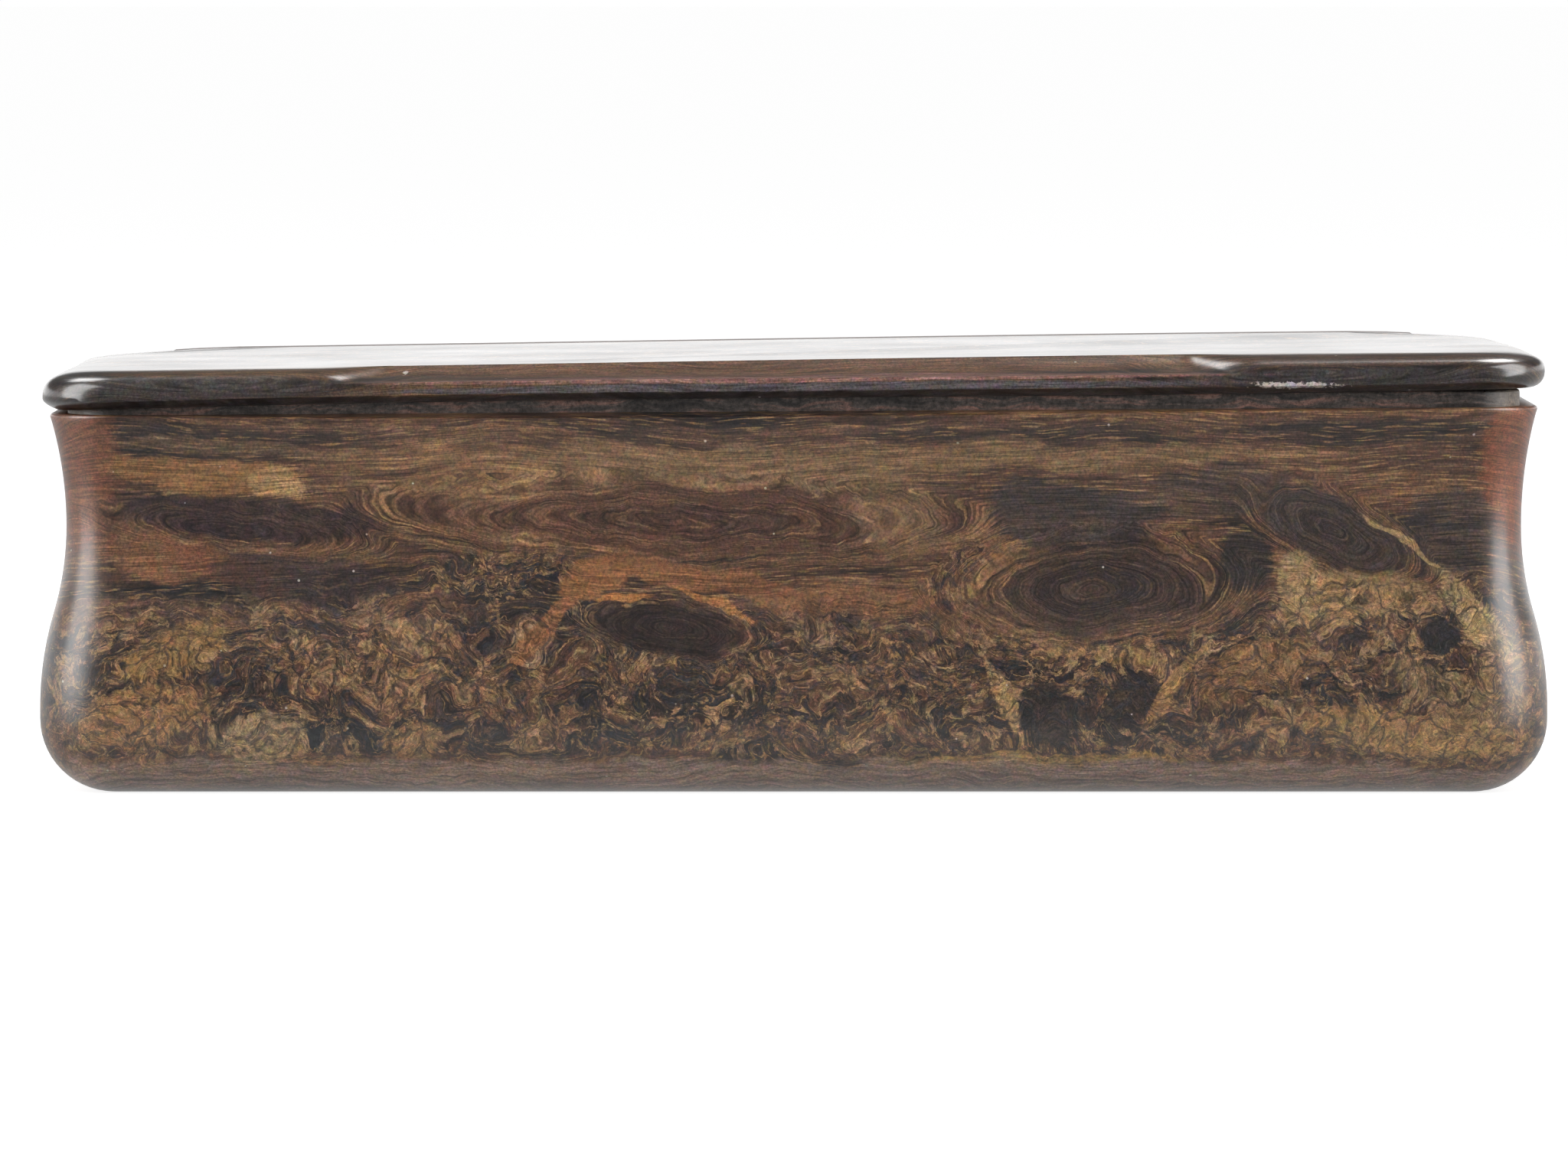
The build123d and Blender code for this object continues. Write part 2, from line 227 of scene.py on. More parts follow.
# Each lamp is its place and size in metres, the setting with its power, and its share of that power. Strips
# show in reflections alone, and fills light the object without showing in it.
LAMPS = {
    "left_strip": ((-0.62, -0.22, 0.38), (0.50, 0.95), "strip_power", 1.0),
    "right_strip": ((0.62, -0.22, 0.38), (0.50, 0.95), "strip_power", 1.0),
    "left_high_strip": ((-0.263, 0.313, 0.629), (0.20, 0.26), "high_power", 1.0),
    "right_high_strip": ((0.215, 0.292, 0.658), (0.20, 0.26), "high_power", 1.5),
    "left_fill": ((-0.60, -0.34, 0.26), (0.40, 0.70), "side_power", 1.0),
    "right_fill": ((0.60, -0.34, 0.26), (0.40, 0.70), "side_power", 1.0),
    "overhead_fill": ((0.0, 0.10, 0.75), (0.60, 0.40), "top_power", 1.0),
    "front_fill": ((0.0, -1.0, 0.70), (0.90, 0.40), "front_power", 1.0),
}
LAMP_TARGET = Vector((0, 0, 0.015))
FLOOR_SIZE = 60
FLOOR_LEVEL = -0.02 * MM


def linear(code):
    """Linear RGBA of an sRGB hex colour such as #8a6a3a."""
    parts = [int(code[i:i + 2], 16) / 255 for i in (1, 3, 5)]
    return [c / 12.92 if c <= 0.04045 else ((c + 0.055) / 1.055) ** 2.4 for c in parts] + [1.0]


def length_setting(name, description, default):
    """A size in metres that a user may change."""
    return bpy.props.FloatProperty(
        name=name, description=description, default=default, subtype="DISTANCE")


def power_setting(name, description, default):
    """A lamp's power that a user may change."""
    return bpy.props.FloatProperty(name=name, description=description, default=default, unit="POWER")


def colour_setting(name, description, code):
    """A colour that a user may change, given as sRGB hex."""
    return bpy.props.FloatVectorProperty(
        name=name, description=description, default=linear(code), size=4, min=0, max=1, subtype="COLOR")


class BodySizes(bpy.types.PropertyGroup):
    """Sizes of the carved body."""

    width: length_setting("Width", "Width across the bulge", BODY_HIGH[0] - BODY_LOW[0])
    depth: length_setting("Depth", "Depth across the bulge", BODY_HIGH[1] - BODY_LOW[1])
    height: length_setting("Height", "Height of the rim over the foot", BODY_HIGH[2] - BODY_LOW[2])
    corner_radius: length_setting("Corner radius", "Radius of the upright corners at the bulge", 4.8 * MM)
    foot_radius: length_setting("Foot radius", "Radius of the rounded lower edge", 4.4 * MM)
    side_flat: length_setting("Side flat", "Upright stretch between the foot and the ogee", 0.6 * MM)
    bulge_radius: length_setting("Bulge radius", "Radius of the convex part of the ogee", 20.0 * MM)
    waist_height: length_setting("Waist height", "Height of the narrowest part", 15.9 * MM)
    waist_inset: length_setting("Waist inset", "How far the waist stays inside the bulge", 1.6 * MM)
    rim_inset: length_setting("Rim inset", "How far the rim stays inside the bulge", 0.6 * MM)
    rim_wave: bpy.props.FloatProperty(
        name="Rim wave", description="Share of the old rim's unevenness that is shown", default=1.0)
    wall: length_setting("Wall", "Wood left between the waist and the well", 1.75 * MM)
    lining: length_setting("Lining", "Thickness of the horn sheets", 0.6 * MM)
    ledge: length_setting("Ledge", "Wood left outside the lip", 1.1 * MM)
    rebate: length_setting("Rebate", "Depth of the rebate that holds the lip", 1.6 * MM)
    base: length_setting("Base", "Thickness of the bottom", 3.0 * MM)


class LidSizes(bpy.types.PropertyGroup):
    """Sizes of the lid slab."""

    thickness: length_setting("Thickness", "Thickness of the slab", 2.4 * MM)
    corner_radius: length_setting("Corner radius", "Radius of the upright corners", 4.35 * MM)
    nose_width: length_setting("Nose width", "How far the rounded nose runs in over the top", 3.4 * MM)
    nose_fullness: bpy.props.FloatProperty(
        name="Nose fullness", description="Power of the nose's curve: 2 is an ellipse, more is squarer",
        default=2.7)
    nose_underside: length_setting("Nose underside", "Height of the arris over the underside", 0.45 * MM)
    nose_undercut: length_setting("Nose undercut", "How far the bevel under the arris runs in", 0.9 * MM)
    scoop_length: length_setting("Scoop length", "Length of the level part of the thumb scoop", 48.0 * MM)
    scoop_centre: length_setting("Scoop centre", "Place of the scoop's middle along the front", -0.4 * MM)
    scoop_shoulder: length_setting("Scoop shoulder", "Length of the scoop's run-out at each end", 3.8 * MM)
    scoop_ridge: length_setting("Scoop ridge", "Height of the scoop's lower edge over the arris", 0.75 * MM)
    gouge_radius: length_setting("Gouge radius", "Radius of the gouge that cuts the scoop", 5.0 * MM)
    pocket: length_setting("Pocket", "Depth of the pocket under the lid", 1.3 * MM)
    warp: bpy.props.FloatProperty(
        name="Warp", description="Share of the old lid's unevenness that is shown", default=1.0)
    corner_wear: length_setting("Corner wear", "How far the top is worn at its back corners", 0.35 * MM)


class FinishColours(bpy.types.PropertyGroup):
    """Colours of the woods, the horn and the brass."""

    burr_ochre: colour_setting("Burr ochre", "Light patches in the burr", "#7e6242")
    burr_dark: colour_setting("Burr dark", "Dark patches and seams in the burr", "#1e2023")
    fleck_gold: colour_setting("Fleck gold", "Golden flecks along the grain", "#8c6c42")
    bare_wood: colour_setting("Bare wood", "Wood laid bare in the chips", "#9c9188")
    dust: colour_setting("Dust", "Specks of dust on the polish", "#c9bda9")
    horn_dark: colour_setting("Horn dark", "Clear dark horn", "#1d1613")
    horn_cloud: colour_setting("Horn cloud", "Cloudy layers in the horn", "#4a3423")
    lip_lit: colour_setting("Lip lit", "Ends of the lip, where light comes through", "#a08f7d")
    rail_dark: colour_setting("Rail dark", "Dark grain of the hinge rails", "#2a1d17")
    rail_light: colour_setting("Rail light", "Light grain of the hinge rails", "#5e3f29")
    brass: colour_setting("Brass", "Brass where it is rubbed", "#b58f4a")
    tarnish: colour_setting("Tarnish", "Brass where it is tarnished", "#6f5630")


class StudioSettings(bpy.types.PropertyGroup):
    """Camera, lights and backdrop."""

    camera_distance: length_setting("Camera distance", "Camera to the front face", 0.754)
    camera_height: length_setting("Camera height", "Camera over the floor", 0.048)
    aim_height: length_setting("Aim height", "Height of the picture's centre", 12.37 * MM)
    aim_side: length_setting("Aim side", "Sideways place of the picture's centre", -0.58 * MM)
    frame_width: length_setting("Frame width", "Width of the picture on the front face", 93.0 * MM)
    strip_power: power_setting("Strip power", "Power of each strip that only shows in reflections", 9.5)
    high_power: power_setting("High power", "Power of each small strip high behind", 1.4)
    side_power: power_setting("Side power", "Power of the fill at each side", 3.4)
    top_power: power_setting("Top power", "Power of the fill overhead", 2.0)
    front_power: power_setting("Front power", "Power of the fill over the camera", 2.4)


def put(tree, kind, inputs=None, **settings):
    """Add a shader node with its settings; inputs maps a socket to a value or to another node's output."""
    node = tree.nodes.new("ShaderNode" + kind)
    for name, value in settings.items():
        setattr(node, name, value)
    for socket, value in (inputs or {}).items():
        if isinstance(value, bpy.types.NodeSocket):
            tree.links.new(value, node.inputs[socket])
        else:
            node.inputs[socket].default_value = value
    return node.outputs[2 if kind == "Mix" and node.data_type == "RGBA" else 0]


def ramp(tree, value, low, high, first=0.0, last=1.0, kind="LINEAR"):
    """Number that runs from first to last while the value runs from low to high."""
    return put(tree, "MapRange", {0: value, 1: low, 2: high, 3: first, 4: last}, interpolation_type=kind)


def soft_ramp(tree, value, low, high, first=0.0, last=1.0):
    """The same ramp, with soft ends."""
    return ramp(tree, value, low, high, first, last, "SMOOTHSTEP")


def scaled(tree, value, gain, offset=0.0):
    """Value times the gain, plus the offset."""
    return put(tree, "Math", {0: value, 1: gain, 2: offset}, operation="MULTIPLY_ADD")


def laid_over(tree, share, under, over):
    """Share of one colour laid over another."""
    return put(tree, "Mix", {0: share, 6: under, 7: over}, data_type="RGBA")


def noise_at(tree, place, scale, detail, roughness=0.5, distortion=0.0):
    """Noise at a place, with scale in waves per unit of that place."""
    return put(tree, "TexNoise", {
        "Vector": place, "Scale": scale, "Detail": detail, "Roughness": roughness, "Distortion": distortion})


def new_material(name):
    """Empty node material: its tree, and the output node's surface socket."""
    material = bpy.data.materials.new(name)
    material.use_nodes = True
    material.node_tree.nodes.clear()
    output = material.node_tree.nodes.new("ShaderNodeOutputMaterial")
    return material, material.node_tree, output.inputs["Surface"]


def only(piece):
    """Select one object alone and make it active."""
    bpy.ops.object.select_all(action="DESELECT")
    piece.select_set(True)
    bpy.context.view_layer.objects.active = piece


def start_chain(name, points):
    """New mesh object holding one chain of edges through the points, left in edit mode."""
    bpy.ops.object.select_all(action="DESELECT")
    bpy.ops.mesh.primitive_circle_add(vertices=3, radius=MM)
    piece = bpy.context.object
    piece.name = name
    bpy.ops.object.mode_set(mode="EDIT")
    bpy.ops.mesh.merge(type="CENTER")
    bpy.ops.transform.translate(value=points[0])
    for here, there in zip(points, points[1:]):
        step = [b - a for a, b in zip(here, there)]
        bpy.ops.mesh.extrude_vertices_move(TRANSFORM_OT_translate={"value": step})
    bpy.ops.mesh.select_all(action="SELECT")
    return piece


def sweep_round(half_x, half_y, radius, step, corner_steps):
    """Sweep the selected chain, which stands at +X, round a rectangle with rounded corners."""
    run_x, run_y = half_x - radius, half_y - radius
    legs = [((0, 1), 2 * run_y, (run_x, run_y)), ((-1, 0), 2 * run_x, (-run_x, run_y)),
            ((0, -1), 2 * run_y, (-run_x, -run_y)), ((1, 0), 2 * run_x, (run_x, -run_y))]
    for (dx, dy), reach, centre in legs:
        count = max(1, round(reach / step))
        for _ in range(count):
            move = (dx * reach / count, dy * reach / count, 0)
            bpy.ops.mesh.extrude_edges_move(TRANSFORM_OT_translate={"value": move})
        bpy.ops.mesh.spin(steps=corner_steps, angle=-math.pi / 2, center=(*centre, 0), axis=(0, 0, 1))
    bpy.ops.mesh.select_all(action="SELECT")
    bpy.ops.mesh.remove_doubles(threshold=SAME_PLACE)


def corners_of(piece):
    """The mesh's vertices as an array of places in metres."""
    places = np.empty(len(piece.data.vertices) * 3)
    piece.data.vertices.foreach_get("co", places)
    return places.reshape(-1, 3)


def move_to(piece, places):
    """Put the mesh's vertices at new places."""
    piece.data.vertices.foreach_set("co", places.ravel())
    piece.data.update()


def combine(piece, other, operation):
    """Join or cut the piece with the other object, and delete that one."""
    only(piece)
    boolean = piece.modifiers.new("Combine", "BOOLEAN")
    boolean.operation = operation
    boolean.solver = "EXACT"
    boolean.object = other
    bpy.ops.object.modifier_apply(modifier=boolean.name)
    bpy.data.objects.remove(other)


def block(low, high, radius=0.0, front_only=False):
    """Box between two corners, its upright edges rounded, or only the two at the front."""
    bpy.ops.object.select_all(action="DESELECT")
    middle = [(a + b) / 2 for a, b in zip(low, high)]
    bpy.ops.mesh.primitive_cube_add(size=1, location=middle, scale=[b - a for a, b in zip(low, high)])
    piece = bpy.context.object
    bpy.ops.object.transform_apply(location=True, rotation=True, scale=True)
    if radius:
        bpy.ops.object.mode_set(mode="EDIT")
        bpy.ops.mesh.select_mode(type="EDGE")
        bpy.ops.mesh.select_all(action="DESELECT")
        bpy.ops.object.mode_set(mode="OBJECT")
        for edge in piece.data.edges:
            a, b = (piece.data.vertices[i].co for i in edge.vertices)
            upright = abs(a.z - b.z) > 0.5 * (high[2] - low[2])
            edge.select = upright and (a.y < middle[1] or not front_only)
        bpy.ops.object.mode_set(mode="EDIT")
        bpy.ops.mesh.bevel(offset=radius, segments=10)
        bpy.ops.mesh.select_mode(type="VERT")
        bpy.ops.object.mode_set(mode="OBJECT")
    return piece


def arc(centre, radius, start, end, steps):
    """Points of an upright arc in (x, z), from one angle in degrees to another."""
    angles = [math.radians(start + (end - start) * k / steps) for k in range(steps + 1)]
    return [(centre[0] + radius * math.cos(a), centre[1] + radius * math.sin(a)) for a in angles]


def place_in_mm(tree):
    """Place on the piece in millimetres."""
    place = put(tree, "TexCoord").node.outputs["Object"]
    return put(tree, "VectorMath", {0: place, "Scale": 1 / MM}, operation="SCALE")


def stirred(tree, place, scale, amount, detail=2.0):
    """Place moved about by noise, with scale in waves per mm and amount in mm."""
    noise = noise_at(tree, place, scale, detail)
    sway = put(tree, "VectorMath", {0: noise.node.outputs["Color"], 1: (0.5, 0.5, 0.5)},
               operation="SUBTRACT")
    moved = put(tree, "VectorMath", {0: sway, "Scale": amount}, operation="SCALE")
    return put(tree, "VectorMath", {0: place, 1: moved}, operation="ADD")


def spot_distance(tree, place, middle, radii, turn):
    """Square of the distance from a spot's middle, in units of its radii along its turned axes."""
    local = put(tree, "Mapping", {
        "Vector": place, "Location": (middle[0], FIGURE_FRONT, middle[1]),
        "Rotation": (0, -math.radians(turn), 0), "Scale": (radii[0], FIGURE_DEPTH, radii[1]),
    }, vector_type="TEXTURE")
    square = put(tree, "VectorMath", {0: local, 1: local}, operation="DOT_PRODUCT")
    return square.node.outputs["Value"]


def both_sides(tree, place):
    """Place folded through the middle of the box, so the back carries the front's figure turned round."""
    x, y, z = put(tree, "SeparateXYZ", {0: place}).node.outputs
    side = put(tree, "Math", {0: y, 1: 0.0}, operation="GREATER_THAN")
    sign = scaled(tree, side, -2.0, 1.0)
    folded_x = scaled(tree, x, sign)
    near = scaled(tree, y, sign)
    return put(tree, "CombineXYZ", {0: folded_x, 1: near, 2: z})


def burr_share(tree, swayed, figure_place, zone, wild_spots, eyes):
    """How far the grain is burr: all of it past the zone and in the wild spots, little in the eyes."""
    axis, calm, wild = zone
    along = put(tree, "SeparateXYZ", {0: stirred(tree, swayed, 0.2, 3.6)}).node.outputs[axis]
    burr = soft_ramp(tree, along, calm, wild)
    for middle, radii, turn in wild_spots:
        square = spot_distance(tree, figure_place, middle, radii, turn)
        share = soft_ramp(tree, square, 1.6, 0.4)
        burr = put(tree, "Math", {0: burr, 1: share}, operation="MAXIMUM")
    for middle, radii, turn, _ in eyes:
        square = spot_distance(tree, figure_place, middle, radii, turn)
        share = soft_ramp(tree, square, 1.5, 0.6, 1.0, 0.12)
        burr = scaled(tree, burr, share)
    return burr


def curled_fibres(tree, swayed, burr, curl):
    """Place along the fibres, which sway a little in calm wood and curl in the burr."""
    fibred = swayed
    for scale, detail, calm_sway, wild_sway in ((0.26, 2.0, 0.2, 0.62), (1.3, 4.0, 0.05, 0.17)):
        sway = scaled(tree, burr, wild_sway * curl, calm_sway)
        fibred = stirred(tree, fibred, scale, sway, detail)
    return fibred


def grain_height(tree, fibred, figure_place, eyes, tilt):
    """Height of the grain's layers in mm: level in plain wood, and rings inside each eye."""
    _, depth, up = put(tree, "SeparateXYZ", {0: fibred}).node.outputs
    layers = scaled(tree, up, LAYER_SHARE)
    ringed_place = laid_over(tree, 0.3, figure_place, fibred)
    for middle, radii, turn, rings in eyes:
        if not rings:
            continue
        square = spot_distance(tree, ringed_place, middle, radii, turn)
        radius = put(tree, "Math", {0: square, 1: 0.5}, operation="POWER")
        ringed = scaled(tree, radius, rings, LAYER_SHARE * middle[1])
        inside = soft_ramp(tree, square, 1.7, 0.6)
        layers = put(tree, "Mix", {0: inside, 2: layers, 3: ringed}, data_type="FLOAT")
    return scaled(tree, depth, tilt, layers)


def grain_noises(tree, fibred, height):
    """Noises drawn out along the fibres, by their names in GRAINS."""
    grain = {}
    for label, (along_fibre, across, detail) in GRAINS.items():
        long = put(tree, "VectorMath", {0: fibred, "Scale": along_fibre}, operation="SCALE")
        level = scaled(tree, height, across)
        flat = put(tree, "VectorMath", {0: long, 1: (1.0, 1.0, 0.0)}, operation="MULTIPLY")
        raised = put(tree, "CombineXYZ", {2: level})
        along_grain = put(tree, "VectorMath", {0: flat, 1: raised}, operation="ADD")
        grain[label] = noise_at(tree, along_grain, 1.0, detail, 0.62)
    return grain


def paletted(tree, level, palette):
    """Colour of the palette at a level."""
    colour = put(tree, "ValToRGB", {0: level})
    stops = colour.node.color_ramp.elements
    for _ in palette[2:]:
        stops.new(0.5)
    for stop, (position, code) in zip(stops, palette):
        stop.position = position
        stop.color = linear(code)
    return colour


def shaded(tree, colour, noise, low, high):
    """Colour darkened and lightened by a noise, between two gains."""
    gain = ramp(tree, noise, 0.32, 0.68, low, high)
    return put(tree, "VectorMath", {0: colour, "Scale": gain}, operation="SCALE")


def glowing(tree, colour, figure_place, streak, glows):
    """Colour with the glows laid over it, the figure's larger patches and painted light alike, their edges
    torn along the streaks.
    """
    ragged = scaled(tree, streak, 2.0, -1.0)
    for middle, radii, turn, code, strength in glows:
        square = spot_distance(tree, figure_place, middle, radii, turn)
        torn = put(tree, "Math", {0: square, 1: ragged}, operation="ADD")
        share = soft_ramp(tree, torn, 1.25, 0.65, 0.0, strength)
        colour = laid_over(tree, share, colour, linear(code))
    return colour


def chipped_share(tree, place, figure_place, chips):
    """Where the polish is chipped off, 0 or 1 with crumbled edges."""
    crumbs = noise_at(tree, place, 3.2, 5.0, 0.75)
    worn = 0.0
    for middle, radii, turn in chips:
        square = spot_distance(tree, figure_place, middle, radii, turn)
        broken = scaled(tree, crumbs, -5.0, square)
        share = ramp(tree, broken, -1.75, -2.15)
        worn = put(tree, "Math", {0: share, 1: worn}, operation="MAXIMUM")
    return worn


def burr_wood(name, figure, zone, sways, palette, gold, roughness, relief_depth):
    """Polished burr root, whose fibres are the level lines of a height field with rings round its eyes.

    figure holds the eyes, the wild spots, the glows, some of which are painted light, and the chips. zone
    gives the axis and the two places in mm between which the calm grain turns into burr. sways holds the lean
    of the grain along the depth, how strongly the burr curls, and how far in mm the edges of the figure are
    stirred.
    gold is the strength of the golden flecks, and relief_depth the unevenness of the polish in mm.
    """
    colours = bpy.context.scene.snuffbox_colours
    material, tree, surface = new_material(name)
    place = place_in_mm(tree)
    eyes, wild_spots, glows, chips = figure
    tilt, curl, figure_sway = sways
    figure_place = stirred(tree, place, 0.18, figure_sway)
    figure_place = both_sides(tree, stirred(tree, figure_place, 0.75, 0.4 * figure_sway, 3.0))
    swayed = stirred(tree, place, 0.06, 2.6)
    burr = burr_share(tree, swayed, figure_place, zone, wild_spots, eyes)
    fibred = curled_fibres(tree, swayed, burr, curl)
    grain = grain_noises(tree, fibred, grain_height(tree, fibred, figure_place, eyes, tilt))

    colour = paletted(tree, grain["band"], palette)
    blotch = noise_at(tree, fibred, 0.62, 5.0, 0.7, 0.8)
    for low, high, patch_colour, most in (
            (0.53, 0.57, colours.burr_ochre, 0.85), (0.47, 0.40, colours.burr_dark, 0.8)):
        patch = soft_ramp(tree, blotch, low, high, 0.0, most)
        patch_here = scaled(tree, patch, burr)
        colour = laid_over(tree, patch_here, colour, patch_colour)
    flecked = soft_ramp(tree, grain["fleck"], 0.55, 0.64, 0.0, gold)
    colour = laid_over(tree, flecked, colour, colours.fleck_gold)
    colour = glowing(tree, colour, figure_place, grain["streak"], glows)

    cells = put(tree, "TexVoronoi", {"Vector": fibred, "Scale": 0.55}, feature="DISTANCE_TO_EDGE")
    seams = soft_ramp(tree, cells, 0.10, 0.0, 0.0, 0.7)
    seams_here = scaled(tree, seams, burr)
    colour = laid_over(tree, seams_here, colour, colours.burr_dark)
    knots = noise_at(tree, fibred, 1.9, 5.0, 0.72, 1.2)
    straight = scaled(tree, grain["streak"], 0.6, 0.2)
    knotted = put(tree, "Mix", {0: burr, 2: straight, 3: knots}, data_type="FLOAT")
    colour = shaded(tree, colour, knotted, 0.34, 1.74)
    colour = shaded(tree, colour, grain["fibre"], 0.42, 1.62)

    worn = chipped_share(tree, place, figure_place, chips)
    colour = laid_over(tree, worn, colour, colours.bare_wood)
    specks = put(tree, "TexVoronoi", {"Vector": place, "Scale": 0.5})
    dust = ramp(tree, specks, 0.045, 0.03, 0.0, 0.5)
    colour = laid_over(tree, dust, colour, colours.dust)
    grit = noise_at(tree, place, 6.5, 3.0, 0.7)
    colour = shaded(tree, colour, grit, 0.5, 1.5)
    tints = noise_at(tree, place, 1.7, 5.0, 0.8)
    tint = put(tree, "MapRange", {
        6: tints.node.outputs["Color"], 7: (0.3, 0.3, 0.3), 8: (0.7, 0.7, 0.7), 9: (0.72, 0.82, 0.66),
        10: (1.26, 1.18, 1.46)}, data_type="FLOAT_VECTOR").node.outputs["Vector"]
    colour = put(tree, "VectorMath", {0: colour, 1: tint}, operation="MULTIPLY")

    ripple = noise_at(tree, place, 0.35, 2.0)
    pits = scaled(tree, blotch, burr)
    pitted = scaled(tree, pits, 1.4, ripple)
    relief = scaled(tree, grain["fibre"], 0.30, pitted)
    bumped = put(tree, "Bump", {"Strength": 0.5, "Distance": relief_depth * MM, "Height": relief})
    smear = noise_at(tree, place, 0.12, 5.0)
    polish = ramp(tree, smear, 0.3, 0.7, roughness - 0.03, roughness + 0.04)
    rough = scaled(tree, worn, 0.5, polish)
    lacquer = scaled(tree, worn, -0.5, 0.5)
    shader = put(tree, "BsdfPrincipled", {
        "Base Color": colour, "Roughness": rough, "Normal": bumped,
        "Coat Weight": lacquer, "Coat Roughness": 0.28})
    tree.links.new(shader, surface)
    return material


def body_burr():
    """Polished burr root, with the front's own figure of eyes, orange glows and ochre patches, and a painted
    floor reflection on the foot.
    """
    figure = (BODY_EYES, BODY_WILD_SPOTS, BODY_GLOWS_AND_PAINTED_REFLECTION, [])
    return burr_wood("polished_burr_root", figure, ("Z", 13.0, 8.5), (0.12, 9.0, 2.2), BODY_PALETTE,
                     gold=0.45, roughness=0.36, relief_depth=0.035)


def lid_burr():
    """The lid's darker, straighter grain, burr towards the back of its top, glossier than the body, with
    painted reflections and a painted shadow on its nose.
    """
    figure = (LID_EYES, [], LID_GLOWS_AND_PAINTED_LIGHT, LID_CHIPS)
    return burr_wood("polished_dark_burr_lid", figure, ("Y", -23.0, -8.0), (0.22, 8.0, 0.25), LID_PALETTE,
                     gold=0.12, roughness=0.2, relief_depth=0.003)


def dark_horn():
    """Dark translucent horn with cloudy brown layers, worn satin by snuff."""
    colours = bpy.context.scene.snuffbox_colours
    material, tree, surface = new_material("dark_horn")
    place = place_in_mm(tree)
    layers = stirred(tree, place, 0.05, 8.0)
    cloud = noise_at(tree, layers, 0.12, 4.0)
    share = ramp(tree, cloud, 0.35, 0.68)
    colour = laid_over(tree, share, colours.horn_dark, colours.horn_cloud)
    dust = noise_at(tree, place, 0.9, 6.0)
    rough = ramp(tree, dust, 0.3, 0.7, 0.28, 0.5)
    bumped = put(tree, "Bump", {"Strength": 0.3, "Distance": 0.02 * MM, "Height": dust})
    shader = put(tree, "BsdfPrincipled", {
        "Base Color": colour, "Roughness": rough, "Normal": bumped, "Subsurface Weight": 0.08,
        "Subsurface Radius": (0.6, 0.3, 0.15), "Subsurface Scale": 1.0 * MM})
    tree.links.new(shader, surface)
    return material


def lip_horn_material():
    """Thin horn of the lip, streaked near black, and grey-brown where its ends let light through."""
    colours = bpy.context.scene.snuffbox_colours
    material, tree, surface = new_material("thin_lip_horn")
    place = place_in_mm(tree)
    x, _, _ = put(tree, "SeparateXYZ", {0: place}).node.outputs
    out = put(tree, "Math", {0: x}, operation="ABSOLUTE")
    edge = soft_ramp(tree, out, 40.9, 43.2)
    long = put(tree, "Mapping", {"Vector": stirred(tree, place, 0.3, 1.6), "Scale": (0.22, 1.0, 2.6)})
    clouds = noise_at(tree, long, 1.0, 6.0, 0.7)
    darker = ramp(tree, out, 36.5, 39.5, 0.0, 0.12)
    streak = put(tree, "Math", {0: clouds, 1: darker}, operation="SUBTRACT")
    colour = paletted(tree, streak, LIP_PALETTE)
    lit = scaled(tree, edge, 0.34)
    colour = laid_over(tree, lit, colour, colours.lip_lit)
    grit = noise_at(tree, place, 4.5, 4.0, 0.75)
    colour = shaded(tree, colour, grit, 0.35, 1.75)
    rough = ramp(tree, streak, 0.3, 0.7, 0.38, 0.6)
    bumped = put(tree, "Bump", {"Strength": 0.8, "Distance": 0.06 * MM, "Height": streak})
    shader = put(tree, "BsdfPrincipled", {
        "Base Color": colour, "Roughness": rough, "Normal": bumped, "Subsurface Weight": 0.1,
        "Subsurface Radius": (0.8, 0.4, 0.2), "Subsurface Scale": 1.0 * MM})
    tree.links.new(shader, surface)
    return material


def straight_wood():
    """Straight-grained dark hardwood of the hinge rails, oiled."""
    colours = bpy.context.scene.snuffbox_colours
    material, tree, surface = new_material("oiled_dark_rail_wood")
    place = place_in_mm(tree)
    long = put(tree, "Mapping", {"Vector": stirred(tree, place, 0.1, 1.2), "Scale": (0.06, 1.6, 1.6)})
    grain = noise_at(tree, long, 1.0, 5.0, 0.65)
    share = ramp(tree, grain, 0.32, 0.68)
    colour = laid_over(tree, share, colours.rail_dark, colours.rail_light)
    bumped = put(tree, "Bump", {"Strength": 0.4, "Distance": 0.02 * MM, "Height": grain})
    rough = ramp(tree, grain, 0.3, 0.7, 0.42, 0.3)
    shader = put(tree, "BsdfPrincipled", {"Base Color": colour, "Roughness": rough, "Normal": bumped})
    tree.links.new(shader, surface)
    return material


def pin_brass():
    """Drawn brass wire of the hinge pin, dull from age."""
    colours = bpy.context.scene.snuffbox_colours
    material, tree, surface = new_material("aged_brass_wire")
    place = place_in_mm(tree)
    tarnish = noise_at(tree, place, 0.8, 4.0)
    share = ramp(tree, tarnish, 0.4, 0.7)
    colour = laid_over(tree, share, colours.brass, colours.tarnish)
    rough = ramp(tree, tarnish, 0.3, 0.7, 0.28, 0.5)
    shader = put(tree, "BsdfPrincipled", {"Base Color": colour, "Metallic": 1.0, "Roughness": rough})
    tree.links.new(shader, surface)
    return material


